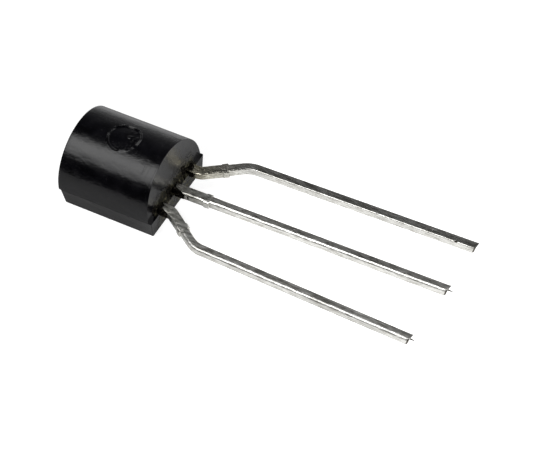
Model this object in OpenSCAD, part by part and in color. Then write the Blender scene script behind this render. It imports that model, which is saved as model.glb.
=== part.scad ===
// TO-92 transistor: a D-shaped epoxy package on three formed leads.
// The flat face lies on Z = 0 with its centre at the origin. +X runs along the leads to their
// tips, +Y is the side of the emitter lead, and +Z points from the flat face to the round crown.

/* [Package body] */
// Diameter of the round half, across the leads
body_d = 4.6; // [4.4:0.05:5.2]
// Length of the round half at the parting line
round_len = 4.65; // [4.3:0.05:5.2]
// Length of the flat half at the parting line
flat_len = 4.6; // [4.3:0.05:5.2]
// Width of the flat half at the parting line
flat_w = 4.65; // [4.4:0.05:5.2]
// Height of the parting line above the flat face
flat_depth = 0.95; // [0.8:0.05:1.6]
// How far the round half sits back from the leads, because the mould halves had shifted
mould_shift = 0.19; // [0:0.01:0.3]
// Draft of the flat half's two long sides, in degrees
side_draft = 10; // [2:1:15]
// Draft of the flat half's two ends, in degrees
flat_end_draft = 4; // [1:0.5:8]
// Draft of the round half's closed end, in degrees
closed_end_draft = 1.5; // [0.5:0.5:6]
// Draft of the round half's lead end, in degrees
lead_end_draft = 3.5; // [0.5:0.5:6]
// Width of the eased edges of the moulding
edge_ease = 0.05; // [0.03:0.01:0.12]

/* [Ejector pin mark] */
// Diameter of the round mark on the crown
pin_mark_d = 1.5; // [0.8:0.1:2]
// Depth of the round mark
pin_mark_depth = 0.04; // [0.02:0.01:0.08]

/* [Leads] */
// Thickness of the sheet that the leads are stamped from
sheet_t = 0.36; // [0.3:0.02:0.45]
// Width of a lead beyond the trimmed dam bar
lead_w = 0.4; // [0.35:0.01:0.55]
// Width of a lead between the body and the dam bar
shoulder_w = 0.48; // [0.4:0.01:0.6]
// Radius that stamping rolls over the upper edges
roll_r = 0.09; // [0.04:0.01:0.15]
// Length of the leads beyond the body
lead_len = 13.3; // [6:0.1:16]
// Pitch of the leads where they leave the body
root_pitch = 1.27; // [1.15:0.01:1.4]
// Pitch of the leads after forming, for the holes of a board
formed_pitch = 2.54; // [2:0.01:3]

/* [Lead forming] */
// Distance from the body to the corner of the first bend
form_start = 0.44; // [0.35:0.01:0.6]
// Angle that the outer leads are bent out by, in degrees
form_angle = 34; // [25:1:45]
// Centre line radius of the first bend
first_bend_r = 0.6; // [0.4:0.05:0.8]
// Centre line radius of the second bend
second_bend_r = 1.3; // [0.6:0.05:1.6]
// Outward lean of the emitter lead's long straight, in degrees
emitter_lean = 1.3; // [0:0.1:3]
// Lean of the collector lead towards the emitter lead, in degrees
collector_lean = 0.7; // [0:0.1:1.5]
// Outward lean of the base lead's long straight, in degrees
base_lean = 1.8; // [0:0.1:3]

/* [Trimming] */
// Distance from the body to the trimmed dam bar, along a lead
dam_start = 1.42; // [1.2:0.02:1.5]
// Width of the dam bar
dam_w = 0.3; // [0.2:0.05:0.5]
// How far the stubs of the dam bar stand out from the shoulders
dam_stub = 0.04; // [0.02:0.01:0.08]
// How much further the emitter lead was cut than the collector lead
emitter_extra = 0.06; // [0:0.02:0.4]
// How much shorter the base lead was cut than the collector lead
base_short = 0.28; // [0:0.02:0.4]
// Lean of the sheared ends, with the lower edge cut shorter, in degrees
cut_lean = 15; // [0:1:20]
// Thickness of the burrs that the shear left on the lower edges of the tips
burr_t = 0.05; // [0.03:0.01:0.08]
// Length of the burr on the emitter lead, beyond its upper edge
emitter_burr = 0.02; // [0.02:0.01:0.2]
// Length of the burr on the collector lead
collector_burr = 0.13; // [0.02:0.01:0.2]
// Length of the burr on the base lead
base_burr = 0.08; // [0.02:0.01:0.2]

/* [Lead frame inside the body] */
// Length of the die paddle, along the leads
paddle_l = 1.5; // [1.2:0.05:1.8]
// Width of the die paddle
paddle_w = 1.7; // [1:0.05:2]
// Distance from the closed end of the flat half to the paddle
paddle_back = 0.95; // [0.6:0.05:1.2]
// Length of a bond post
post_l = 0.9; // [0.6:0.05:1]
// Width of a bond post
post_w = 0.72; // [0.6:0.02:0.8]
// Clear gap between the paddle and the bond posts
post_gap = 0.25; // [0.2:0.05:0.4]
// Radius of the notches that lock the leads in the moulding
lock_r = 0.09; // [0.05:0.01:0.12]
// Radius of the lock hole in the paddle
lock_hole_r = 0.15; // [0.1:0.01:0.2]
// Distance from the paddle's back edge to the middle of the lock hole
lock_hole_inset = 0.3; // [0.25:0.01:0.4]

/* [Die and bond wires] */
// Side of the square silicon die
die_side = 0.56; // [0.3:0.02:0.8]
// Thickness of the die
die_t = 0.2; // [0.15:0.01:0.3]
// Thickness of the solder under the die
solder_t = 0.02; // [0.01:0.005:0.04]
// How far the solder shows around the die
solder_rim = 0.05; // [0.02:0.01:0.1]
// Distance from the die to the paddle's edge that faces the posts
die_inset = 0.25; // [0.1:0.05:0.4]
// Diameter of the gold bond wires
wire_d = 0.04; // [0.025:0.005:0.05]
// Diameter of the ball bonds on the die
ball_d = 0.1; // [0.08:0.01:0.12]
// Height of the ball bonds
ball_h = 0.03; // [0.02:0.005:0.05]
// Radius that a wire turns through above its ball bond
loop_r = 0.1; // [0.06:0.01:0.15]
// Distance of the two bonding pads from the middle of the die
pad_y = 0.14; // [0.1:0.01:0.2]
// Distance from the end of a bond post to the wire bonded on it
bond_inset = 0.3; // [0.15:0.01:0.4]

/* [Hidden] */
$fn = 64;

body_r = body_d / 2;
parting_z = flat_depth;
sheet_top = parting_z + sheet_t / 2;
lead_end_x = flat_len / 2;
round_mid_x = -mould_shift;

paddle_x = paddle_back - flat_len / 2;
paddle_end_x = paddle_x + paddle_l;
post_x = paddle_end_x + post_gap;
post_end_x = post_x + post_l;
// Step of the rolled edges' arc, in degrees
roll_step = 30;
// A burr starts this far in from the lead's lower face and side.
burr_inset = 0.01;
// The formed part of a lead starts this far inside the body.
root_in = 0.3;
// The flat stem inside the body laps this far over it.
stem_lap = 0.06;
lock_x = (post_end_x + lead_end_x - root_in) / 2;

die_x = paddle_end_x - die_inset - die_side / 2;
die_top = sheet_top + solder_t + die_t;
bond_x = post_x + bond_inset;

// ---------------------------------------------------------------- lead sections and lengths

// Section of a stamped lead, centred on its sheet, with both upper edges rolled over.
module lead_section(w) {
    roll = [for (a = [0:roll_step:90]) [w / 2 - roll_r * (1 - cos(a)), sheet_t / 2 - roll_r * (1 - sin(a))]];
    right = concat([[w / 2, -sheet_t / 2]], roll);
    left = [for (i = [len(right) - 1:-1:0]) [-right[i][0], right[i][1]]];
    polygon(concat(right, left));
}

// A straight length of lead along +X; its children follow from its far end.
module straight(len, w) {
    rotate([90, 0, 90]) linear_extrude(len) lead_section(w);
    translate([len, 0, 0]) children();
}

// A bend to the left; its children follow from its far end, in the new direction.
module bend(r, angle, w) {
    translate([0, r, 0]) {
        rotate([0, 0, -90]) rotate_extrude(angle = angle) translate([r, 0]) lead_section(w);
        rotate([0, 0, angle]) translate([0, -r, 0]) children();
    }
}

// A bend to the right.
module bend_back(r, angle, w) {
    mirror([0, 1, 0]) bend(r, angle, w) mirror([0, 1, 0]) children();
}

// The trimmed stub of the dam bar, in line with the lead; the lead goes on from its far end.
module dam_stubs() {
    straight(dam_w, shoulder_w + 2 * dam_stub) children();
}

// The sheared tip. The cut leans back, and the half of its lower edge on the side where the
// blade came out keeps a pointed burr.
module tip(len, burr, exit_side) {
    burr_x = len - sheet_t * tan(cut_lean) - burr_t;
    edge_y = exit_side * (lead_w / 2 - burr_inset);
    difference() {
        straight(len, lead_w);
        translate([len, 0, sheet_t / 2]) rotate([0, cut_lean, 0])
            translate([0, -lead_w, -2 * sheet_t]) cube([sheet_t, 2 * lead_w, 3 * sheet_t]);
    }
    translate([0, 0, burr_inset - sheet_t / 2]) linear_extrude(burr_t)
        polygon([[burr_x, 0], [len + burr, edge_y], [burr_x, edge_y]]);
}

// ---------------------------------------------------------------- leads

// Plan of a lead inside the body, from the bond post or paddle to the formed part.
module locked_stem(from_x) {
    to_x = lead_end_x - root_in + stem_lap;
    difference() {
        translate([from_x, -shoulder_w / 2]) square([to_x - from_x, shoulder_w]);
        for (side = [-1, 1]) translate([lock_x, side * shoulder_w / 2]) circle(lock_r);
    }
}

// Extrudes a plan into sheet at the height of the lead frame.
module sheet() {
    translate([0, 0, parting_z]) linear_extrude(sheet_t, center = true) children();
}

// Places the formed part of a lead, starting inside the body.
module at_root() {
    translate([lead_end_x - root_in, 0, parting_z]) children();
}

// An outer lead on the +Y side, with its bond post.
module outer_lead(lean, extra, burr, exit_side) {
    first_tangent = first_bend_r * tan(form_angle / 2);
    back_angle = form_angle - lean;
    second_tangent = second_bend_r * tan(back_angle / 2);
    corner_gap = (formed_pitch - root_pitch) / sin(form_angle);
    first_arc = first_bend_r * form_angle * PI / 180;
    to_dam = dam_start - (form_start - first_tangent) - first_arc;
    past_dam = corner_gap - first_tangent - to_dam - dam_w - second_tangent;
    second_corner_x = form_start + corner_gap * cos(form_angle);
    tip_len = (lead_len + extra - second_corner_x) / cos(lean) - second_tangent;
    translate([0, root_pitch, 0]) {
        sheet() {
            locked_stem(post_x);
            translate([post_x, -post_w / 2]) square([post_l, post_w]);
        }
        at_root() straight(root_in + form_start - first_tangent, shoulder_w)
            bend(first_bend_r, form_angle, shoulder_w) straight(to_dam, shoulder_w)
            dam_stubs() straight(past_dam, lead_w) bend_back(second_bend_r, back_angle, lead_w)
            tip(tip_len, burr, exit_side);
    }
}

module lead_emitter() {
    color("silver") outer_lead(emitter_lean, emitter_extra, emitter_burr, 1);
}

module lead_base() {
    color("silver") mirror([0, 1, 0]) outer_lead(base_lean, -base_short, base_burr, -1);
}

// The middle lead carries the die paddle.
module lead_collector() {
    lean_arc = second_bend_r * collector_lean * PI / 180;
    color("silver") {
        sheet() difference() {
            union() {
                locked_stem(paddle_end_x - lock_r);
                translate([paddle_x, -paddle_w / 2]) square([paddle_l, paddle_w]);
            }
            translate([paddle_x + lock_hole_inset, 0]) circle(lock_hole_r);
        }
        at_root() straight(root_in, shoulder_w) bend(second_bend_r, collector_lean, shoulder_w)
            straight(dam_start - lean_arc, shoulder_w) dam_stubs()
            tip((lead_len - dam_start - dam_w) / cos(collector_lean), collector_burr, 1);
    }
}

// ---------------------------------------------------------------- die and bond wires

module die_attach() {
    color("gray") translate([die_x, 0, sheet_top + solder_t / 2])
        cube([die_side + 2 * solder_rim, die_side + 2 * solder_rim, solder_t], center = true);
}

module die() {
    color("dimgray") translate([die_x, 0, die_top - die_t / 2])
        cube([die_side, die_side, die_t], center = true);
}

// A wire from its ball bond on the die, up through a quarter turn and down to a bond post.
module bond_wire() {
    run = norm([bond_x - die_x, root_pitch - pad_y]);
    // The wire rises out of the middle of its ball.
    neck = ball_h / 2;
    drop = die_top + neck - sheet_top;
    reach = norm([run - loop_r, drop]);
    fall = atan2(drop, run - loop_r) + asin(loop_r / reach);
    slope_len = (run - loop_r - loop_r * sin(fall)) / cos(fall);
    difference() {
        translate([die_x, pad_y, die_top])
            rotate([0, 0, atan2(root_pitch - pad_y, bond_x - die_x)]) {
                cylinder(h = ball_h, d = ball_d);
                translate([loop_r, 0, neck]) {
                    rotate([90, 0, 0]) rotate([0, 0, 90 - fall])
                        rotate_extrude(angle = 90 + fall) translate([loop_r, 0]) circle(d = wire_d);
                    rotate([0, 90 + fall, 0]) translate([-loop_r, 0, 0])
                        cylinder(h = slope_len + wire_d, d = wire_d);
                }
            }
        translate([0, 0, parting_z]) cube([flat_len, body_d, sheet_t], center = true);
    }
}

module wire_emitter() {
    color("gold") bond_wire();
}

module wire_base() {
    color("gold") mirror([0, 1, 0]) bond_wire();
}

// ---------------------------------------------------------------- package body

// One end of the round half: a flat end face with an eased rim, opening out behind it at 45
// degrees so that only the rim is cut. It faces +X, and its draft leans the crown side back.
module end_cone(draft) {
    // Deep enough to hold the whole of the round half.
    depth = round_len + body_r;
    rim_r = body_r - edge_ease;
    rotate([0, -90 - draft, 0]) cylinder(h = depth, r1 = rim_r, r2 = rim_r + depth);
}

module round_half() {
    translate([round_mid_x, 0, parting_z]) intersection() {
        rotate([0, 90, 0]) cylinder(h = 2 * round_len, r = body_r, center = true);
        translate([round_len / 2, 0, 0]) end_cone(lead_end_draft);
        mirror([1, 0, 0]) translate([round_len / 2, 0, 0]) end_cone(closed_end_draft);
        translate([0, 0, body_d]) cube(2 * body_d, center = true);
    }
}

// Profile of the flat half: drafted sides and eased edges along the flat face.
module flat_profile(w, draft) {
    inset = flat_depth * tan(draft);
    half = w / 2;
    polygon([[-half, flat_depth], [-half + inset, edge_ease], [-half + inset + edge_ease, 0],
             [half - inset - edge_ease, 0], [half - inset, edge_ease], [half, flat_depth]]);
}

module flat_half() {
    intersection() {
        rotate([90, 0, 0]) linear_extrude(2 * body_d, center = true)
            flat_profile(flat_len, flat_end_draft);
        rotate([90, 0, 90]) linear_extrude(2 * flat_len, center = true)
            flat_profile(flat_w, side_draft);
    }
}

// The mark's floor follows the round half, so it is a round step of even depth.
module ejector_mark() {
    difference() {
        translate([round_mid_x, 0, parting_z]) cylinder(h = body_d, d = pin_mark_d);
        translate([round_mid_x, 0, parting_z]) rotate([0, 90, 0])
            cylinder(h = round_len, r = body_r - pin_mark_depth, center = true);
    }
}

// Everything that the epoxy was moulded around, so it fits these pieces without a gap.
module body() {
    color([0.08, 0.08, 0.09]) difference() {
        union() {
            round_half();
            flat_half();
        }
        ejector_mark();
        lead_emitter();
        lead_collector();
        lead_base();
        die_attach();
        die();
        wire_emitter();
        wire_base();
    }
}

body();
lead_emitter();
lead_collector();
lead_base();
die_attach();
die();
wire_emitter();
wire_base();
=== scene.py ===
import math

import bmesh
import bpy
from mathutils import Matrix, Vector
from mathutils.noise import noise as noise_at


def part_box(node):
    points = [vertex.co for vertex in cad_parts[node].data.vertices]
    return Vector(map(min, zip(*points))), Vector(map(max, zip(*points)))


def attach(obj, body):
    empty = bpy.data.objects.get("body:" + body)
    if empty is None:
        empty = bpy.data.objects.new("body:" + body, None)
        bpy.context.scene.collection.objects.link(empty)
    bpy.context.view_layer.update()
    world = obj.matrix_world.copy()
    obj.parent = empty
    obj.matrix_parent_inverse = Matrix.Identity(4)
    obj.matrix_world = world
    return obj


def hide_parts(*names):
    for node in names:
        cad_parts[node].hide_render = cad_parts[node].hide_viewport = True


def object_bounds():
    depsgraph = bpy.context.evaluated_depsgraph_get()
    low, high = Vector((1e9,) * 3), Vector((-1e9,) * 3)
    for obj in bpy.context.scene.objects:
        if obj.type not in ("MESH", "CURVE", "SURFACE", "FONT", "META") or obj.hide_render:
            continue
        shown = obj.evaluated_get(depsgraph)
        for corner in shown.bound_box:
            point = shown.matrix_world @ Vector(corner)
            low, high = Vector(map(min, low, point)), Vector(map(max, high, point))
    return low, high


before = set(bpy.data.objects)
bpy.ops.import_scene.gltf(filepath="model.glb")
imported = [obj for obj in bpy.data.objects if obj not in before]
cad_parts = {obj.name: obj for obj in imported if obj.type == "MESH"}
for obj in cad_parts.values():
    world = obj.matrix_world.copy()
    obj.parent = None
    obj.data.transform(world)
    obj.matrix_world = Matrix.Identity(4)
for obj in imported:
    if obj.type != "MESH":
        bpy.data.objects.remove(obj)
cad_low, cad_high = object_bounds()

# ---------------------------------------------------------------- Leads
# Three leads punched out of one strip of copper alloy, with the upper edges rolled over by the
# punch, and plated with matte tin. The outer two are formed outwards to the pitch of a board. The
# dam bar is trimmed to stubs, and the tips are sheared and worn, two of them with a burr.
MM = 0.001
# Places less than this many millimetres apart count as the same.
same = 1e-4
strip_low, strip_high = (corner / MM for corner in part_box("lead_collector"))
strip_t = strip_high.z - strip_low.z
strip_z = (strip_low.z + strip_high.z) / 2
root_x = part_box("body")[1].x / MM

lead_w = 0.4
shoulder_w = 0.48
stub_w = 0.56
stub_l = 0.3
settle = 0.12
far_roll_r = 0.06
punch_ease = 0.02
root_pitch = 1.27
formed_pitch = 2.54
stub_x = 1.42
lock_r = 0.09
lock_in = 0.47
lock_x = root_x - lock_in
post_l = 0.9
post_w = 0.72
# A sheared tip: the lean of its cut, how far its edges are worn, and how wide the copper shows.
shear_lean = math.radians(15)
worn_l = 0.07
worn_in = 0.045
worn_w = 0.1
bared_w = 0.06
# The upper corner that the blade drew out, and the burr that it left below.
drawn_w = 0.12
drawn_l = 0.05
drawn_up = 0.02
burr_in = 0.07
burr_up = 0.035
burr_root_l = 0.16
burr_root_r = 0.055
burr_end_r = 0.018


def strip_section(bm, x, y, width, near_roll_r):
    """The section of the strip at a lead's inner end, with both upper edges rolled over."""
    bmesh.ops.create_grid(bm, x_segments=1, y_segments=1, size=0.5)
    upright = Matrix.Translation((x, y, strip_z)) @ Matrix.Rotation(math.radians(-90), 4, "Y")
    bmesh.ops.transform(bm, verts=bm.verts, matrix=upright @ Matrix.Diagonal((strip_t, width, 1, 1)))
    for side, roll_r in ((-1, near_roll_r), (1, far_roll_r)):
        corner = [v for v in bm.verts if v.co.z > strip_z + strip_t / 2 - same
                  and (v.co.y - y) * side > width / 2 - same]
        bmesh.ops.bevel(bm, geom=corner, offset=roll_r, offset_type="OFFSET", segments=6, profile=0.5,
                        affect="VERTICES", material=-1)
    return bm.faces[:][0]


def middle_of(face):
    """Where a lead's centre line meets a section of it."""
    return Vector(((max(v.co.x for v in face.verts) + min(v.co.x for v in face.verts)) / 2,
                   (max(v.co.y for v in face.verts) + min(v.co.y for v in face.verts)) / 2, strip_z))


def form_lead(bm, end, width, route):
    """Carries a section along runs ("run", length, width) and bends ("bend", angle, radius)."""
    heading, inner_end = 0, end
    for kind, amount, size in route:
        last = end
        ahead = Vector((math.cos(heading), math.sin(heading), 0))
        if kind == "run":
            made = bmesh.ops.extrude_face_region(bm, geom=[last])["geom"]
            end = next(g for g in made if isinstance(g, bmesh.types.BMFace))
            left = Vector((-ahead.y, ahead.x, 0))
            for v in end.verts:
                side = math.copysign(1, (v.co - middle_of(last)).dot(left))
                v.co += ahead * amount + left * side * (size - width) / 2
            width = size
        else:
            pivot = middle_of(last) + Vector((-ahead.y, ahead.x, 0)) * math.copysign(size, amount)
            made = bmesh.ops.spin(bm, geom=[last], cent=pivot, axis=(0, 0, math.copysign(1, amount)),
                                  angle=abs(amount), steps=max(2, round(abs(math.degrees(amount)) / 3)),
                                  use_merge=False, use_duplicate=False)["geom_last"]
            end = next(g for g in made if isinstance(g, bmesh.types.BMFace))
            heading += amount
        if last is not inner_end:
            bmesh.ops.delete(bm, geom=[last], context="FACES_ONLY")
    return end, heading


def locked_stem(start_x, stop_x):
    """The stem inside the moulding, narrowed by a pair of round locking notches."""
    steps = 8
    edge = [(lock_r - lock_r * math.cos(math.pi * i / steps), lock_r * math.sin(math.pi * i / steps))
            for i in range(steps + 1)]
    notch = [("run", b[0] - a[0], shoulder_w - 2 * b[1]) for a, b in zip(edge, edge[1:])]
    return [("run", lock_x - lock_r - start_x, shoulder_w), *notch,
            ("run", stop_x - lock_x - lock_r, shoulder_w)]


def stub_then(next_w):
    """The trimmed stubs of the dam bar, and the narrower lead that starts behind them."""
    return [("run", punch_ease, stub_w), ("run", stub_l - 2 * punch_ease, stub_w),
            ("run", punch_ease, next_w), ("run", settle, next_w)]


def shear_tip(bm, end, heading, burr_l):
    """The sheared end: cut back below, rounded where the blade came in, with a burr where it left."""
    ahead = Vector((math.cos(heading), math.sin(heading), 0))
    left = Vector((-ahead.y, ahead.x, 0))
    centre = middle_of(end)
    top = strip_z + strip_t / 2
    worn_from = end
    end = next(g for g in bmesh.ops.extrude_face_region(bm, geom=[worn_from])["geom"]
               if isinstance(g, bmesh.types.BMFace))
    for v in end.verts:
        v.co += ahead * worn_l
        if (v.co - centre).dot(left) < -lead_w / 2 + worn_w:
            v.co += left * worn_in
        if v.co.z < strip_z:
            v.co.z += worn_in
    for v in {*worn_from.verts, *end.verts}:
        v.co -= ahead * (top - v.co.z) * math.tan(shear_lean)
    bared = []
    for f in {f for e in end.edges for f in e.link_faces} - {end}:
        middle = f.calc_center_median() - centre
        if middle.dot(left) < -lead_w / 2 + bared_w or middle.z < -strip_t / 2 + bared_w:
            bared.append(f)
    bmesh.ops.delete(bm, geom=[worn_from], context="FACES_ONLY")
    corner = [v for v in end.verts if v.co.z > strip_z and (v.co - centre).dot(left) > drawn_w]
    bmesh.ops.translate(bm, vec=ahead * drawn_l + Vector((0, 0, drawn_up)), verts=corner)
    if burr_l:
        foot = centre + left * (lead_w / 2 - burr_in) - ahead * burr_root_l
        foot.z = strip_z - strip_t / 2 + burr_up
        reach = burr_root_l + worn_l + burr_l
        lie = Matrix.Translation(foot + ahead * reach / 2) @ Matrix.Rotation(heading, 4, "Z") \
            @ Matrix.Rotation(math.radians(90), 4, "Y")
        flattened = lie @ Matrix.Diagonal((0.7, 1.1, 1, 1))
        burr = bmesh.ops.create_cone(bm, cap_ends=True, segments=8, radius1=burr_root_r, radius2=burr_end_r,
                                     depth=reach, matrix=flattened)["verts"]
        bared += list({f for v in burr for f in v.link_faces})
    for f in bared:
        f.material_index = 1


def shade(mesh, sharp_degrees):
    """Smooth over the rounded edges, and crisp where two faces meet at a real corner."""
    mesh.shade_smooth()
    mesh.set_sharp_from_angle(angle=math.radians(sharp_degrees))


def finish_piece(name, bm, sharp_degrees, materials, slot, *nodes):
    """Turns a closed shape into the piece that stands for the CAD nodes."""
    bmesh.ops.remove_doubles(bm, verts=bm.verts, dist=1e-5)
    bmesh.ops.recalc_face_normals(bm, faces=bm.faces)
    bmesh.ops.scale(bm, vec=(MM, MM, MM), verts=bm.verts)
    mesh = bpy.data.meshes.new(name)
    bm.to_mesh(mesh)
    bm.free()
    shade(mesh, sharp_degrees)
    for material in materials:
        mesh.materials.append(material)
    piece = bpy.data.objects.new(name, mesh)
    bpy.context.scene.collection.objects.link(piece)
    keep_flats = piece.modifiers.new("Keep flats flat", "WEIGHTED_NORMAL")
    keep_flats.keep_sharp = True
    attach(piece, "root")
    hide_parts(*nodes)
    return piece


def node(tree, kind, inputs=None, **settings):
    """Adds a shader node; a socket given as an input is linked, and anything else is set."""
    made = tree.nodes.new(kind)
    for name, value in settings.items():
        setattr(made, name, value)
    for socket, value in (inputs or {}).items():
        if isinstance(value, bpy.types.NodeSocket):
            tree.links.new(value, made.inputs[socket])
        else:
            made.inputs[socket].default_value = value
    return made


def ramp(tree, fac, *stops):
    """A colour ramp through (position, colour) stops; a single number is a grey."""
    made = node(tree, "ShaderNodeValToRGB", {"Fac": fac})
    ends = made.color_ramp.elements
    while len(ends) < len(stops):
        ends.new(0.5)
    for element, (position, colour) in zip(ends, stops):
        element.position = position
        element.color = (*colour, 1) if isinstance(colour, tuple) else (colour, colour, colour, 1)
    return made.outputs["Color"]


def new_material(name):
    """A material with its shader, and the piece's own coordinates in millimetres."""
    made = bpy.data.materials.new(name)
    made.use_nodes = True
    tree = made.node_tree
    shader = tree.nodes["Principled BSDF"]
    place = node(tree, "ShaderNodeTexCoord").outputs["Object"]
    in_mm = node(tree, "ShaderNodeMapping", {"Vector": place, "Scale": (1000, 1000, 1000)}).outputs["Vector"]
    return made, tree, shader, in_mm


def stretched(tree, in_mm, *scale):
    """Coordinates drawn out along an axis, for marks that run one way."""
    return node(tree, "ShaderNodeMapping", {"Vector": in_mm, "Scale": scale}).outputs["Vector"]


def noise(tree, vector, scale, detail=3.0, roughness=0.55):
    """The grey of a noise texture."""
    return node(tree, "ShaderNodeTexNoise", {"Vector": vector, "Scale": scale, "Detail": detail,
                                            "Roughness": roughness}).outputs["Fac"]


def maths(tree, operation, *values, clamp=False):
    """The result of a sum on sockets and numbers."""
    return node(tree, "ShaderNodeMath", dict(enumerate(values)), operation=operation,
                use_clamp=clamp).outputs[0]


def ranged(tree, value, start, stop, low=0.0, high=1.0):
    """A value that goes from low to high while the one it follows goes from start to stop."""
    return node(tree, "ShaderNodeMapRange", {"Value": value, "From Min": start, "From Max": stop,
                                             "To Min": low, "To Max": high}).outputs[0]


def bumped(tree, height, strength, depth, under=None):
    """Fine relief of a depth in metres, laid over other relief if there is any."""
    inputs = {"Strength": strength, "Distance": depth, "Height": height}
    if under:
        inputs["Normal"] = under
    return node(tree, "ShaderNodeBump", inputs).outputs["Normal"]


def mixed(tree, factor, first, second):
    """One colour turning into another as the factor goes from 0 to 1."""
    made = tree.nodes.new("ShaderNodeMix")
    made.data_type = "RGBA"
    for socket, value in ((made.inputs[0], factor), (made.inputs[6], first), (made.inputs[7], second)):
        tree.links.new(value, socket)
    return made.outputs[2]


# One plating, but the material tells the leads apart by Y, for how each of them caught the light:
# the middle one is the brightest, each has its own roughness, and only the emitter lead is stained
# near its root. In another place, or under another light, they would not match each other.
tin, tree, shader, in_mm = new_material("Matte tin plate")
along = stretched(tree, in_mm, 0.22, 1, 1)
grain = noise(tree, in_mm, 30, 3)
draw_marks = noise(tree, along, 11, 4, 0.6)
dents = noise(tree, stretched(tree, in_mm, 0.45, 1, 1), 4.5, 2)
patches = noise(tree, along, 3.2, 4, 0.65)
mottle = noise(tree, stretched(tree, in_mm, 0.6, 1, 1), 7, 3, 0.6)
where = node(tree, "ShaderNodeSeparateXYZ", {0: in_mm})
near_root = ranged(tree, where.outputs["X"], 4.4, 2.6, 0.0, 0.8)
far_row = ranged(tree, where.outputs["Y"], 0.7, 1.0)
near_row = ranged(tree, where.outputs["Y"], -0.7, -1.0)
bright = ramp(tree, patches, (0.3, (0.52, 0.515, 0.49)), (0.48, (0.68, 0.675, 0.65)),
              (0.7, (0.84, 0.835, 0.81)))
middle_bright = ramp(tree, patches, (0.3, (0.58, 0.575, 0.55)), (0.48, (0.75, 0.745, 0.72)),
                     (0.7, (0.9, 0.895, 0.87)))
stained = ramp(tree, patches, (0.35, (0.34, 0.30, 0.19)), (0.6, (0.74, 0.70, 0.55)))
greyed = ramp(tree, mottle, (0.36, (0.14, 0.135, 0.115)), (0.5, (0.34, 0.335, 0.3)),
              (0.64, (0.66, 0.65, 0.61)))
bright = mixed(tree, near_row, mixed(tree, far_row, middle_bright, bright), bright)
# Towards the roots the emitter lead is stained, and the other two turn darker and mottled.
colour = mixed(tree, near_root, bright, mixed(tree, far_row, greyed, stained))
streaks = ramp(tree, draw_marks, (0.38, (0.62, 0.61, 0.59)), (0.5, (0.9, 0.9, 0.89)), (0.64, (1.0, 1.0, 1.0)))
streaked = node(tree, "ShaderNodeMix", {0: 1.0, 6: colour, 7: streaks},
                data_type="RGBA", blend_type="MULTIPLY")
tree.links.new(streaked.outputs[2], shader.inputs["Base Color"])
shader.inputs["Metallic"].default_value = 1.0
dulled = mixed(tree, far_row, ramp(tree, draw_marks, (0.3, 0.25), (0.7, 0.36)),
               ramp(tree, draw_marks, (0.3, 0.2), (0.7, 0.32)))
dulled = mixed(tree, near_row, dulled, ramp(tree, draw_marks, (0.3, 0.3), (0.7, 0.42)))
tree.links.new(dulled, shader.inputs["Roughness"])
fine_relief = bumped(tree, grain, 0.6, 0.000010)
drawn_relief = bumped(tree, draw_marks, 0.7, 0.000018, fine_relief)
worked = maths(tree, "MULTIPLY_ADD", near_root, 1.6, 0.5)
uneven = maths(tree, "MULTIPLY", dents, worked)
tree.links.new(bumped(tree, uneven, 0.7, 0.00005, drawn_relief), shader.inputs["Normal"])

bare_copper, tree, shader, in_mm = new_material("Bare sheared copper")
rub = noise(tree, in_mm, 22, 3)
shader.inputs["Metallic"].default_value = 1.0
tree.links.new(ramp(tree, rub, (0.3, (0.05, 0.045, 0.035)), (0.7, (0.16, 0.145, 0.12))),
               shader.inputs["Base Color"])
tree.links.new(ramp(tree, rub, (0.3, 0.35), (0.7, 0.55)), shader.inputs["Roughness"])
tree.links.new(bumped(tree, rub, 0.5, 0.00001), shader.inputs["Normal"])

form_angle = math.radians(34)
first_r = 0.6
second_r = 1.3
form_x = 0.44
first_tangent = first_r * math.tan(form_angle / 2)
corner_gap = (formed_pitch - root_pitch) / math.sin(form_angle)
to_stub = stub_x - (form_x - first_tangent) - first_r * form_angle
# A small nick in the near edge of the emitter lead.
nick_back = 0.92
nick_l = 0.06
nick_deep = 0.02
nick_over = 0.01
nick_bared = 0.05

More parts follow.
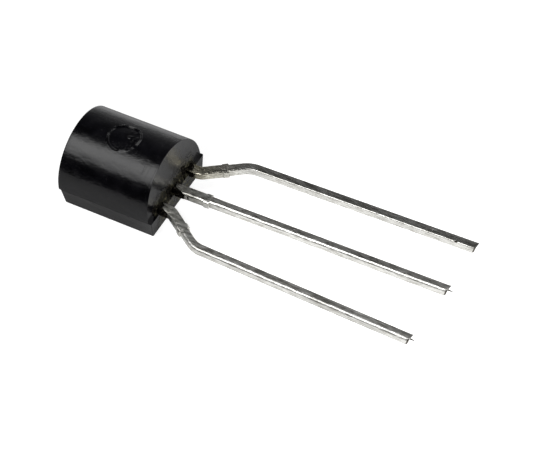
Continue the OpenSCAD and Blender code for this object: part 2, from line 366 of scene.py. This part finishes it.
# Each outer lead has its own lean, near edge roll and burr. The solid's box reaches to the end of
# its burr, so the sheared edge lies that much further back.
for name, side, lean_degrees, near_roll_r, burr_l, solid_burr in (
        ("lead_emitter", 1, 1.3, 0.05, 0, 0.02), ("lead_base", -1, 1.8, 0.14, 0.09, 0.08)):
    node_low, node_high = (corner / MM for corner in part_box(name))
    lean = math.radians(lean_degrees)
    turn_back = form_angle - lean
    second_tangent = second_r * math.tan(turn_back / 2)
    past_stub = corner_gap - first_tangent - to_stub - stub_l - settle - second_tangent
    second_x = root_x + form_x + corner_gap * math.cos(form_angle)
    tip_x = node_high.x - solid_burr
    tip_l = (tip_x - second_x) / math.cos(lean) - second_tangent
    bm = bmesh.new()
    start = strip_section(bm, node_low.x, side * root_pitch, post_w, near_roll_r)
    end, heading = form_lead(bm, start, post_w, [
        ("run", post_l, post_w), ("run", punch_ease, shoulder_w),
        *locked_stem(node_low.x + post_l + punch_ease, root_x + form_x - first_tangent),
        ("bend", side * form_angle, first_r), ("run", to_stub, shoulder_w), *stub_then(lead_w),
        ("run", past_stub, lead_w), ("bend", -side * turn_back, second_r), ("run", settle, lead_w),
        ("run", tip_l - 2 * settle - nick_back - nick_l, lead_w), ("run", settle, lead_w),
        ("run", nick_l, lead_w), ("run", nick_l, lead_w), ("run", settle, lead_w),
        ("run", nick_back - nick_l - 3 * settle, lead_w), ("run", 2 * settle - worn_l, lead_w)])
    if name == "lead_emitter":
        at_nick = [v for v in bm.verts if abs(v.co.x - tip_x + nick_back) < nick_l / 2]
        near_edge = min(v.co.y for v in at_nick)
        nicked = [v for v in at_nick if v.co.z > strip_z and v.co.y < near_edge + near_roll_r + nick_over]
        bmesh.ops.translate(bm, vec=(0, nick_deep, -nick_deep), verts=nicked)
        for f in {f for v in nicked for f in v.link_faces}:
            on_edge = max(v.co.y for v in f.verts) < near_edge + near_roll_r + nick_bared
            if on_edge and f.calc_center_median().z > strip_z + strip_t / 4 and len(f.verts) == 4:
                f.material_index = 1
    shear_tip(bm, end, heading, burr_l)
    finish_piece(name + "_tinned", bm, 32, (tin, bare_copper), "tinned_lead", name)

paddle_l = 1.5
paddle_w = strip_high.y - strip_low.y
middle_lean = math.radians(0.7)
middle_roll_r = 0.13
middle_burr_l = 0.12
middle_solid_burr = 0.13
middle_tip_l = (strip_high.x - root_x - stub_x - stub_l) / math.cos(middle_lean) - middle_solid_burr
bm = bmesh.new()
start = strip_section(bm, strip_low.x, 0, paddle_w, middle_roll_r)
end, heading = form_lead(bm, start, paddle_w, [
    ("run", paddle_l, paddle_w), ("run", punch_ease, shoulder_w),
    *locked_stem(strip_low.x + paddle_l + punch_ease, root_x),
    ("bend", middle_lean, second_r), ("run", stub_x - second_r * middle_lean, shoulder_w), *stub_then(lead_w),
    ("run", middle_tip_l - 3 * settle, lead_w), ("run", 2 * settle - worn_l, lead_w)])
shear_tip(bm, end, heading, middle_burr_l)
finish_piece("lead_collector_tinned", bm, 32, (tin, bare_copper), "tinned_lead", "lead_collector")

# ---------------------------------------------------------------- Die and bond wires
# A square of silicon soldered to the middle lead's paddle, and two gold wires from its pads to
# the posts of the outer leads. All of it is sealed inside the moulding.
solder, tree, shader, in_mm = new_material("Dull solder")
shader.inputs["Metallic"].default_value = 1.0
tree.links.new(ramp(tree, noise(tree, in_mm, 9), (0.3, 0.34), (0.7, 0.56)), shader.inputs["Base Color"])
tree.links.new(ramp(tree, noise(tree, in_mm, 30), (0.3, 0.4), (0.7, 0.6)), shader.inputs["Roughness"])

silicon, tree, shader, in_mm = new_material("Lapped silicon")
shader.inputs["Metallic"].default_value = 0.6
tree.links.new(ramp(tree, noise(tree, in_mm, 12), (0.3, (0.10, 0.10, 0.13)), (0.7, (0.16, 0.16, 0.2))),
               shader.inputs["Base Color"])
tree.links.new(ramp(tree, noise(tree, in_mm, 50), (0.3, 0.12), (0.7, 0.25)), shader.inputs["Roughness"])

gold, tree, shader, in_mm = new_material("Drawn gold wire")
shader.inputs["Metallic"].default_value = 1.0
tree.links.new(ramp(tree, noise(tree, in_mm, 20), (0.3, (0.83, 0.6, 0.24)), (0.7, (0.93, 0.72, 0.33))),
               shader.inputs["Base Color"])
tree.links.new(ramp(tree, noise(tree, in_mm, 60), (0.3, 0.15), (0.7, 0.3)), shader.inputs["Roughness"])

for name, material, slot in (("die_attach", solder, "solder"), ("die", silicon, "silicon"),
                             ("wire_emitter", gold, "gold_wire"), ("wire_base", gold, "gold_wire")):
    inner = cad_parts[name]
    inner.data.materials.clear()
    inner.data.materials.append(material)

# ---------------------------------------------------------------- Package
# Black epoxy moulded round the leads in two mould halves, which meet in the plane of the leads
# and had shifted, so a ledge shows at each end. An ejector pin left its ring on the crown.
body_low, body_high = (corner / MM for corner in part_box("body"))
parting_z = strip_z
body_r = body_high.z - parting_z
round_l = 4.65
round_back = body_low.x
round_front = round_back + round_l
round_mid = (round_back + round_front) / 2
rim_ease = 0.05
front_draft = math.radians(2.6)
back_draft = math.radians(0.4)
patch = 1.2
patch_cells = 24
spoke_cuts = 7
side_steps = 28
end_steps = 6
scuff_from = 0.05
scuff_fade = 0.2
scuff_most = 0.03
mark_deep = 0.04
mark_rings = [*((0.02 + 0.06 * i, -mark_deep) for i in range(11)), (0.655, -mark_deep), (0.67, -0.034),
              (0.685, -0.012), (0.695, 0.01), (0.71, 0.017), (0.73, 0.017), (0.742, 0.008), (0.755, 0.002),
              (0.768, 0.01), (0.785, 0.012), (0.8, 0.005), (0.815, 0.0), (0.84, 0.0)]


def wrap_on_crown(bm):
    """Rolls the flat sheet over the round half; a sheet's height is its height over the crown."""
    for v in bm.verts:
        turn = v.co.y / body_r
        r = body_r + v.co.z
        v.co = Vector((v.co.x, r * math.sin(turn), r * math.cos(turn)))


bm = bmesh.new()
bmesh.ops.create_circle(bm, cap_ends=True, segments=4 * patch_cells, radius=mark_rings[0][0])
ring = bm.edges[:]
bmesh.ops.translate(bm, vec=(0, 0, mark_rings[0][1]), verts=bm.verts)
for (r0, z0), (r1, z1) in zip(mark_rings, mark_rings[1:]):
    made = bmesh.ops.extrude_edge_only(bm, edges=ring)["geom"]
    verts = [g for g in made if isinstance(g, bmesh.types.BMVert)]
    ring = [g for g in made if isinstance(g, bmesh.types.BMEdge) and all(v in verts for v in g.verts)]
    bmesh.ops.scale(bm, vec=(r1 / r0, r1 / r0, 1), verts=verts)
    bmesh.ops.translate(bm, vec=(0, 0, z1 - z0), verts=verts)
# Scuffs roughen one half of the mark's floor, and its raised rim is higher in some places than others.
for v in bm.verts:
    angle = math.atan2(v.co.y, v.co.x)
    if v.co.z < -0.03 and v.co.x > scuff_from:
        scuff = 0.09 * max(0, noise_at(Vector((v.co.x * 8, v.co.y * 5, 2))))
        v.co.z += min(scuff_most, scuff * min(1, (v.co.x - scuff_from) / scuff_fade))
    if v.co.z > 0.001:
        spot = Vector((2.6 * math.cos(angle), 2.6 * math.sin(angle), 3))
        v.co.z *= max(0.3, 1.5 + 3 * noise_at(spot))
        v.co.xy *= 1 + 0.03 * noise_at(spot)
grid = bmesh.ops.create_grid(bm, x_segments=patch_cells, y_segments=patch_cells, size=patch)["verts"]
inside = [v for v in grid if max(abs(v.co.x), abs(v.co.y)) < patch - same]
bmesh.ops.delete(bm, geom=inside, context="VERTS")
square = [v for v in grid if v.is_valid]
square_edges = [e for e in bm.edges if e.verts[0] in square and e.verts[1] in square]
bridge = bmesh.ops.bridge_loops(bm, edges=ring + square_edges)["faces"]
spokes = list({e for f in bridge for e in f.edges if e not in ring and e not in square_edges})
bmesh.ops.subdivide_edges(bm, edges=spokes, cuts=spoke_cuts, use_grid_fill=False)


def spread(bm, axis, sign, start, stops):
    """Carries the border of the sheet at one side outwards through the stops."""
    border = [e for e in bm.edges if e.is_boundary
              and all(abs(v.co[axis] * sign - start) < same for v in e.verts)]
    for stop in stops:
        made = bmesh.ops.extrude_edge_only(bm, edges=border)["geom"]
        verts = [g for g in made if isinstance(g, bmesh.types.BMVert)]
        border = [g for g in made if isinstance(g, bmesh.types.BMEdge) and all(v in verts for v in g.verts)]
        for v in verts:
            v.co[axis] = sign * stop


quarter = math.pi / 2 * body_r
for sign in (-1, 1):
    spread(bm, 1, sign, patch, [patch + (quarter - patch) * i / side_steps for i in range(1, side_steps + 1)])
half_l = (round_front - round_back) / 2
for sign in (-1, 1):
    spread(bm, 0, sign, patch, [patch + (half_l - patch) * i / end_steps for i in range(1, end_steps + 1)])
wrap_on_crown(bm)
for v in bm.verts:
    out = max(0, (abs(v.co.x) - patch) / (half_l - patch))
    draft = front_draft if v.co.x > 0 else back_draft
    v.co.x -= math.copysign(out * v.co.z * math.tan(draft), v.co.x)
for sign, draft in ((-1, back_draft), (1, front_draft)):
    rim = [e for e in bm.edges if e.is_boundary and
           all(abs(v.co.x * sign - half_l + v.co.z * math.tan(draft)) < same for v in e.verts)]
    foot = [v for e in rim for v in e.verts if v.co.z < same]
    base = bmesh.ops.contextual_create(bm, geom=foot)["edges"]
    bmesh.ops.edgeloop_fill(bm, edges=rim + base)
under = [e for e in bm.edges if e.is_boundary and all(v.co.z < same for v in e.verts)]
bmesh.ops.edgeloop_fill(bm, edges=under)
bmesh.ops.recalc_face_normals(bm, faces=bm.faces)
rims = [e for e in bm.edges if len(e.link_faces) == 2 and e.calc_face_angle() > math.radians(60)
        and max(v.co.z for v in e.verts) > 1e-3]
bmesh.ops.bevel(bm, geom=rims, offset=rim_ease, offset_type="OFFSET", segments=4, profile=0.5,
                affect="EDGES", clamp_overlap=True, material=-1)
bmesh.ops.translate(bm, vec=(round_mid, 0, parting_z), verts=bm.verts)
round_bm = bm

flat_narrower = 0.04
flat_shift = 0.085
flat_w = body_high.y - body_low.y - flat_narrower
flat_back = body_low.x + flat_shift
flat_l = body_high.x - flat_back
side_draft = math.radians(7)
end_draft = math.radians(4)
bm = bmesh.new()
bmesh.ops.create_cube(bm, size=1)
bmesh.ops.scale(bm, vec=(flat_l, flat_w, parting_z), verts=bm.verts)
bmesh.ops.translate(bm, vec=(0, 0, parting_z / 2), verts=bm.verts)
seat = [v for v in bm.verts if v.co.z < same]
bmesh.ops.scale(bm, vec=(1 - 2 * parting_z * math.tan(end_draft) / flat_l,
                         1 - 2 * parting_z * math.tan(side_draft) / flat_w, 1), verts=seat)
bmesh.ops.translate(bm, vec=((body_high.x + flat_back) / 2, 0, 0), verts=bm.verts)
eased = [e for e in bm.edges if min(v.co.z for v in e.verts) < same]
bmesh.ops.bevel(bm, geom=eased, offset=rim_ease, offset_type="OFFSET", segments=4, profile=0.5,
                affect="EDGES", clamp_overlap=True, material=-1)
bmesh.ops.recalc_face_normals(bm, faces=bm.faces)
flat_bm = bm


def solid(name, bm):
    """A helper object that a boolean can work on."""
    mesh = bpy.data.meshes.new(name)
    bm.to_mesh(mesh)
    bm.free()
    made = bpy.data.objects.new(name, mesh)
    bpy.context.scene.collection.objects.link(made)
    return made


def combined(first, second, operation):
    """The bmesh of two solids united or cut, with the helper objects removed."""
    cut = first.modifiers.new("Join", "BOOLEAN")
    cut.operation, cut.solver, cut.object = operation, "EXACT", second
    bpy.context.view_layer.update()
    made = bmesh.new()
    made.from_object(first, bpy.context.evaluated_depsgraph_get())
    for helper in (first, second):
        mesh = helper.data
        bpy.data.objects.remove(helper)
        bpy.data.meshes.remove(mesh)
    return made


bm = combined(solid("round_half", round_bm), solid("flat_half", flat_bm), "UNION")

epoxy, tree, shader, in_mm = new_material("Polished black epoxy")
fine = noise(tree, in_mm, 18, 4)
cloudy = noise(tree, in_mm, 1.6, 3)
lumps = noise(tree, in_mm, 5, 4, 0.6)
dusty = noise(tree, stretched(tree, in_mm, 0.8, 1, 1), 6.5, 3, 0.7)
rub_marks = noise(tree, stretched(tree, in_mm, 0.7, 1.2, 1.2), 1.5, 3, 0.6)
where = node(tree, "ShaderNodeSeparateXYZ", {0: in_mm})

# The lower middle of the end face that the leads come out of is darker, dull and flecked with olive: partly
# crept resin, partly painted shade where the leads darken what the face reflects.
uneven = maths(tree, "MULTIPLY_ADD", lumps, 1.8, where.outputs["Z"])
on_end = ranged(tree, where.outputs["X"], 2.0, 2.06)
low_down = ranged(tree, uneven, 2.75, 2.25)
inner = ranged(tree, maths(tree, "ABSOLUTE", where.outputs["Y"]), 1.8, 1.6)
soiled_and_painted_shade = maths(tree, "MULTIPLY", maths(tree, "MULTIPLY", on_end, low_down), inner, clamp=True)

haze = ramp(tree, cloudy, (0.3, (0.0006, 0.0006, 0.0011)), (0.5, (0.0014, 0.0014, 0.0024)),
            (0.7, (0.0034, 0.0032, 0.0046)))
dust = ramp(tree, dusty, (0.6, (0.0010, 0.0010, 0.0014)), (0.67, (0.007, 0.007, 0.008)),
            (0.76, (0.03, 0.03, 0.032)))
clean = mixed(tree, ramp(tree, dusty, (0.6, 0.0), (0.64, 1.0)), haze, dust)
olive = ramp(tree, lumps, (0.42, (0.0008, 0.0007, 0.0005)), (0.5, (0.012, 0.011, 0.006)),
             (0.6, (0.085, 0.080, 0.052)))
tree.links.new(mixed(tree, soiled_and_painted_shade, clean, olive), shader.inputs["Base Color"])
gloss = mixed(tree, ramp(tree, cloudy, (0.35, 0.0), (0.65, 1.0)), ramp(tree, fine, (0.3, 0.15), (0.75, 0.21)),
              ramp(tree, fine, (0.3, 0.19), (0.75, 0.28)))
dull = ramp(tree, lumps, (0.38, 0.18), (0.62, 0.6))
tree.links.new(mixed(tree, soiled_and_painted_shade, gloss, dull), shader.inputs["Roughness"])
# Lower than the 1.5 or so of real moulded epoxy, so the piece is less glossy than a real one.
shader.inputs["IOR"].default_value = 1.36

relief = bumped(tree, fine, 0.35, 0.000004)
relief = bumped(tree, rub_marks, 1.0, 0.000022, relief)
lines = ramp(tree, noise(tree, stretched(tree, in_mm, 5, 0.5, 0.5), 0.9, 2),
             (0.485, 0.0), (0.5, 1.0), (0.515, 0.0))
scratches = maths(tree, "MULTIPLY", lines, ranged(tree, where.outputs["X"], 0.9, 1.5))
relief = bumped(tree, scratches, 0.3, 0.000008, relief)
relief = bumped(tree, maths(tree, "MULTIPLY", lumps, soiled_and_painted_shade), 0.9, 0.00006, relief)
tree.links.new(relief, shader.inputs["Normal"])
finish_piece("package_moulding", bm, 32, (epoxy,), "epoxy", "body")

# ---------------------------------------------------------------- Resin left at the leads
# Where the mould halves closed on the strip, resin crept out as webs in the corner of the ledge.
# The rest is painted shade where the roots and the face under them are only in shade: a thin matte
# sheet up the end face that is partly resin, a black film round each root and a dark patch beside
# each lead. A dark crumb lies beside one root. All of it is ragged, and the resin hardened in place.
resin, tree, shader, in_mm = new_material("Rough resin")
lumps = noise(tree, in_mm, 9, 4, 0.6)
tree.links.new(ramp(tree, lumps, (0.4, (0.0008, 0.0008, 0.0006)), (0.54, (0.012, 0.011, 0.006)),
                    (0.66, (0.10, 0.092, 0.062))), shader.inputs["Base Color"])
tree.links.new(ramp(tree, lumps, (0.35, 0.3), (0.65, 0.7)), shader.inputs["Roughness"])
# Far lower than any real resin's, here and in the matte black, to take away a sheen.
shader.inputs["IOR"].default_value = 1.16
tree.links.new(bumped(tree, lumps, 0.9, 0.00005), shader.inputs["Normal"])

# Matte black for the painted shade round the roots, and for the crumb.
matte_black_and_painted_shade, tree, shader, in_mm = new_material("Matte black and painted shade")
lumps = noise(tree, in_mm, 14, 3, 0.6)
tree.links.new(ramp(tree, lumps, (0.44, (0.0006, 0.0006, 0.0006)), (0.56, (0.006, 0.005, 0.004)),
                    (0.68, (0.07, 0.063, 0.048))), shader.inputs["Base Color"])
tree.links.new(ramp(tree, lumps, (0.3, 0.4), (0.7, 0.6)), shader.inputs["Roughness"])
shader.inputs["IOR"].default_value = 1.08
tree.links.new(bumped(tree, lumps, 0.8, 0.00003), shader.inputs["Normal"])


def turn_in(bm, rim, shift):
    """Turns the edge of a sheet, of resin or of painted shade, down into the moulding, and closes the sheet
    from behind.
    """
    made = bmesh.ops.extrude_edge_only(bm, edges=rim)["geom"]
    sunk = [g for g in made if isinstance(g, bmesh.types.BMVert)]
    bmesh.ops.translate(bm, vec=shift, verts=sunk)
    hem = [g for g in made if isinstance(g, bmesh.types.BMEdge) and all(v in sunk for v in g.verts)]
    bmesh.ops.holes_fill(bm, edges=hem, sides=0)


ledge_front = body_high.x
half_root = shoulder_w / 2
web_cell = 0.03
web_rows = 14
web_taper = 0.12
web_sunk = 0.012
web_turn_in = (-0.08, 0, -0.08)
web_spans = ((-1.75, -root_pitch - half_root), (-root_pitch + half_root, -0.52),
             (half_root, 0.72), (root_pitch + half_root, 1.72))
bm = bmesh.new()
for number, (web_low, web_high) in enumerate(web_spans):
    web_w = web_high - web_low
    web_cells = round(web_w / web_cell)
    web = bmesh.ops.create_grid(bm, x_segments=web_cells, y_segments=web_rows, size=0.5)["verts"]
    own = set(web)
    for v in web:
        y = web_low + web_w * (v.co.x + 0.5)
        along_curve = v.co.y + 0.5
        spot = Vector((number * 7, y * 3.1, along_curve * 2.2))
        ends = min(1, (y - web_low) / web_taper, (web_high - y) / web_taper)
        climb = (0.34 + 0.3 * noise_at(Vector((number * 3, y * 2.3, 0)))) * max(0.15, ends)
        foot = (ledge_front - round_front) * max(0.2, ends) * (0.92 + 0.25 * noise_at(Vector((9, y * 4, 1))))
        bulge = 0.07 * noise_at(spot * 2) + 0.05 * noise_at(spot * 5)
        inward = web_sunk if along_curve in (0, 1) or abs(v.co.x) > 0.499 else 0
        turn = along_curve * math.pi / 2
        x = round_front + foot * (1 - math.sin(turn)) + bulge * ends * math.cos(turn) * 0.6 - inward
        z = parting_z + climb * (1 - math.cos(turn)) + abs(bulge) * ends * 0.6 - inward
        v.co = Vector((x - 0.06 * climb * along_curve, y, z))
    turn_in(bm, [e for e in bm.edges if e.is_boundary and e.verts[0] in own], web_turn_in)
finish_piece("resin_webs", bm, 50, (resin,), "epoxy")

film_t = 0.012
film_back = round_front - 0.05
film_rows = 8
film_roll_r = 0.1
film_thinned = 0.75
# A black film round each root, painted shade where the root is only in shade.
for name, y, top_reach, side_reach in (("emitter", root_pitch, 0.2, 0.4), ("collector", 0, 0.16, 0.6),
                                       ("base", -root_pitch, 0.2, 0.6)):
    bm = bmesh.new()
    film = strip_section(bm, film_back, y, shoulder_w + 2 * film_t, film_roll_r)
    long_edges = [e for e in film.edges if e.calc_length() > 0.1]
    bmesh.ops.subdivide_edges(bm, edges=long_edges, cuts=5)
    film = bm.faces[:][0]
    for v in film.verts:
        v.co.z += math.copysign(film_t, v.co.z - strip_z)
    for row in range(film_rows):
        last = film
        made = bmesh.ops.extrude_face_region(bm, geom=[last])["geom"]
        film = next(g for g in made if isinstance(g, bmesh.types.BMFace))
        if row:
            bmesh.ops.delete(bm, geom=[last], context="FACES_ONLY")
        for v in film.verts:
            on_side = min(1, max(0, (y - v.co.y) / half_root))
            spot = Vector((v.co.y * 6, v.co.z * 6, y * 5))
            reach = top_reach + (side_reach - top_reach) * on_side + 0.25 * noise_at(spot)
            v.co.x = film_back + reach * (row + 1) / film_rows
            shrink = film_thinned if row == film_rows - 1 else 0
            v.co.y += (y - v.co.y) * shrink * film_t / half_root
            v.co.z += (strip_z - v.co.z) * shrink * film_t / (strip_t / 2)
    finish_piece("painted_shade_film_" + name, bm, 50, (matte_black_and_painted_shade,), "epoxy")

crumb_r = 0.05
crumb_x = root_x + 0.66
crumb_z = strip_z - 0.02
bm = bmesh.new()
bmesh.ops.create_icosphere(bm, subdivisions=3, radius=crumb_r)
for v in bm.verts:
    v.co *= 1 + 0.5 * noise_at(v.co * 30)
    v.co = Vector((crumb_x + v.co.x * 0.6, -half_root + v.co.y * 0.5, crumb_z + v.co.z * 2.2))
finish_piece("dark_crumb", bm, 60, (matte_black_and_painted_shade,), "epoxy")

face_turn_in = (-0.05, 0, 0)
# A thin matte sheet over the lower middle of the end face: partly resin, partly painted shade.
shade_sheet_half = 1.74
shade_sheet_below = 0.02
shade_sheet_proud = 0.007
shade_sheet_sunk = 0.01
bm = bmesh.new()
bmesh.ops.create_grid(bm, x_segments=90, y_segments=14, size=1)
for v in bm.verts:
    across_w, up = v.co.x, (v.co.y + 1) / 2
    y = shade_sheet_half * across_w
    top = 0.5 + 0.5 * noise_at(Vector((y * 1.6, 3, 0))) + 0.3 * noise_at(Vector((y * 6, 5, 0)))
    z = parting_z - shade_sheet_below + max(0.06, top * (1 - across_w ** 8)) * up
    at_edge = up in (0, 1) or abs(across_w) > 0.999
    proud = -shade_sheet_sunk if at_edge else shade_sheet_proud
    v.co = Vector((round_front - (z - parting_z) * math.tan(front_draft) + proud, y, z))
turn_in(bm, [e for e in bm.edges if e.is_boundary], face_turn_in)
finish_piece("resin_and_shade_sheet", bm, 50, (resin,), "epoxy")

# A dark patch beside each lead on the end face: painted shade.
shade_patch_cells = 14
shade_patch_beside = 0.42
shade_patch_above = 0.28
shade_patch_half_w = 0.3
shade_patch_half_h = 0.34
shade_patch_proud = 0.045
shade_patch_sunk = 0.012
for name, y in (("emitter", root_pitch), ("collector", 0), ("base", -root_pitch)):
    bm = bmesh.new()
    bmesh.ops.create_grid(bm, x_segments=shade_patch_cells, y_segments=shade_patch_cells, size=1)
    for v in bm.verts:
        reach = max(abs(v.co.x), abs(v.co.y))
        out = v.co.xy.normalized() if reach else Vector((0, 0))
        r = reach * (0.9 + 0.55 * noise_at(Vector((out.x * 1.3, out.y * 1.3, y * 4)))
                     + 0.45 * noise_at(Vector((out.x * 4, out.y * 4, y * 7))))
        up = parting_z + shade_patch_above + shade_patch_half_h * out.y * r
        proud = shade_patch_proud * (1 - reach ** 2) - shade_patch_sunk + 0.012 * noise_at(v.co * 3)
        face_x = round_front - (up - parting_z) * math.tan(front_draft)
        v.co = Vector((face_x + proud, y - shade_patch_beside + shade_patch_half_w * out.x * r, up))
    turn_in(bm, [e for e in bm.edges if e.is_boundary], face_turn_in)
    finish_piece("painted_shade_patch_" + name, bm, 50, (matte_black_and_painted_shade,), "epoxy")

# ---------------------------------------------------------------- Table, lights and camera
# A pale matte table in a dim room with a large soft box over the base lead's side and a small low
# one past the lead tips on the other side. The table isn't plain: its grey and its glow change from
# place to place, as painted shadow and painted light, which shapes what the package and leads reflect.
table_r = 0.12
table_x = 0.006
table_gap = 0.00002
seen_glow = 0.82
mirrored_glow = 0.45
floor_material = bpy.data.materials.new("Pale table with painted shade and light")
floor_material.use_nodes = True
tree = floor_material.node_tree
tree.nodes.clear()
path = node(tree, "ShaderNodeLightPath")
across = node(tree, "ShaderNodeSeparateXYZ", {0: node(tree, "ShaderNodeTexCoord").outputs["Object"]})

# The camera sees the table glow evenly. Gloss and glass see a weaker glow, and only from X 1 mm on: painted
# light for the leads to reflect, left off the table beside the package.
mirrored = ranged(tree, across.outputs["X"], 0.001, 0.004, 0.0, mirrored_glow)
bent = maths(tree, "MAXIMUM", path.outputs["Is Glossy Ray"], path.outputs["Is Transmission Ray"])
for_gloss = maths(tree, "MULTIPLY", bent, mirrored)
glow = maths(tree, "MULTIPLY_ADD", path.outputs["Is Camera Ray"], seen_glow, for_gloss)
own_light = node(tree, "ShaderNodeEmission", {"Color": (1, 1, 1, 1), "Strength": glow})

# The table is painted greyer in a zone round the package than it is further out: a painted shadow.
from_side = maths(tree, "ABSOLUTE", maths(tree, "SUBTRACT", across.outputs["Y"], 0.0012))
from_end = maths(tree, "ABSOLUTE", maths(tree, "MULTIPLY_ADD", across.outputs["X"], 0.8, 0.00064))
away = maths(tree, "MAXIMUM", from_side, from_end)
pale = ranged(tree, away, 0.0034, 0.0050, 0.45, 0.84)

# A darker strip beside the package on the emitter lead's side, painted shadow, and a lighter one on the base
# lead's, painted light.
row = ranged(tree, across.outputs["Y"], -0.01, 0.01)
behind = ramp(tree, row, (0.5, 0.0), (0.65, 1.0), (0.74, 1.0), (0.84, 0.0))
shaded = maths(tree, "MULTIPLY", behind, ranged(tree, across.outputs["X"], 0.002, 0.0035, 0.55, 0.0))
grey = maths(tree, "MULTIPLY", pale, maths(tree, "SUBTRACT", 1.0, shaded))
close_by = ramp(tree, row, (0.33, 0.0), (0.372, 1.0), (0.4, 1.0), (0.41, 0.0))
lighter = ranged(tree, across.outputs["X"], 0.002, 0.0035, 0.26, 0.0)
grey = maths(tree, "MULTIPLY_ADD", close_by, lighter, grey)
matte = node(tree, "ShaderNodeBsdfDiffuse", {"Color": grey})
both = node(tree, "ShaderNodeAddShader", {0: own_light.outputs[0], 1: matte.outputs[0]})
node(tree, "ShaderNodeOutputMaterial", {"Surface": both.outputs[0]})

bm = bmesh.new()
bmesh.ops.create_circle(bm, cap_ends=True, segments=96, radius=table_r)
bmesh.ops.translate(bm, vec=(table_x, 0, cad_low.z - table_gap), verts=bm.verts)
mesh = bpy.data.meshes.new("table")
bm.to_mesh(mesh)
bm.free()
mesh.materials.append(floor_material)
table = bpy.data.objects.new("table", mesh)
bpy.context.scene.collection.objects.link(table)

big_box_light = 5.4
small_box_light = 4.6
scene = bpy.context.scene
scene.view_settings.view_transform = "Standard"
world = bpy.data.worlds.new("Dim room")
scene.world = world
world.use_nodes = True
tree = world.node_tree
tree.nodes.clear()
path = node(tree, "ShaderNodeLightPath")
direction = node(tree, "ShaderNodeSeparateXYZ", {0: node(tree, "ShaderNodeTexCoord").outputs["Generated"]})
near_side = maths(tree, "MULTIPLY", direction.outputs["Y"], -1.0)
tilt = maths(tree, "ARCTAN2", near_side, direction.outputs["Z"])
turned = ranged(tree, tilt, -math.pi, math.pi)


def by_tilt(*stops):
    """Grey by the angle from straight up towards the side of the base lead."""
    return ramp(tree, turned, *[((angle + 180) / 360, grey) for angle, grey in stops])


room = by_tilt((-90, 0.56), (-80, 0.42), (-62, 0.22), (-45, 0.09), (-25, 0.045), (-8, 0.035), (5, 0.03),
               (60, 0.015))
big_across = by_tilt((-1, 0.0), (12, 1.0), (28, 1.0), (41, 0.62), (48, 0.42), (53, 0.0))
big_along = ramp(tree, ranged(tree, direction.outputs["X"], -1.0, 1.0),
                 (0.16, 0.0), (0.24, 1.0), (0.44, 1.0), (0.52, 0.0))
small_across = by_tilt((-62, 0.0), (-52, 1.0), (-22, 1.0), (-14, 0.0))
small_along = ranged(tree, direction.outputs["X"], 0.2, 0.3)
small_box = maths(tree, "MULTIPLY", small_across, small_along)
light = maths(tree, "MULTIPLY_ADD", small_box, small_box_light, room)
light = maths(tree, "MULTIPLY_ADD", maths(tree, "MULTIPLY", big_across, big_along), big_box_light, light)

# The camera, and rays through glass, see plain white. Gloss and matte surfaces see the room itself.
seen = maths(tree, "MAXIMUM", path.outputs["Is Camera Ray"], path.outputs["Is Transmission Ray"])
shown = node(tree, "ShaderNodeMix", {"Factor": seen, "A": light, "B": 1.0})
sky = node(tree, "ShaderNodeBackground", {"Color": (1, 1, 1, 1), "Strength": shown.outputs["Result"]})
node(tree, "ShaderNodeOutputWorld", {"Surface": sky.outputs[0]})

look_at = Vector((6.983, 0.0075, 0.95)) * MM
distance = 108.01
azimuth, elevation, roll = math.radians(33.17), math.radians(50.19), math.radians(-5.52)
to_camera = Vector((math.sin(azimuth) * math.cos(elevation), -math.cos(azimuth) * math.cos(elevation),
                    math.sin(elevation)))
aimed = (-to_camera).to_track_quat("-Z", "Y")
camera = bpy.data.objects.new("Camera", bpy.data.cameras.new("Camera"))
scene.collection.objects.link(camera)
scene.camera = camera
camera.data.lens = 164.77
camera.data.sensor_width = 36
camera.data.clip_start, camera.data.clip_end = 0.001, 10
camera.location = look_at + to_camera * distance * MM
camera.rotation_mode = "QUATERNION"
camera.rotation_quaternion = aimed @ Matrix.Rotation(roll, 4, "Z").to_quaternion()
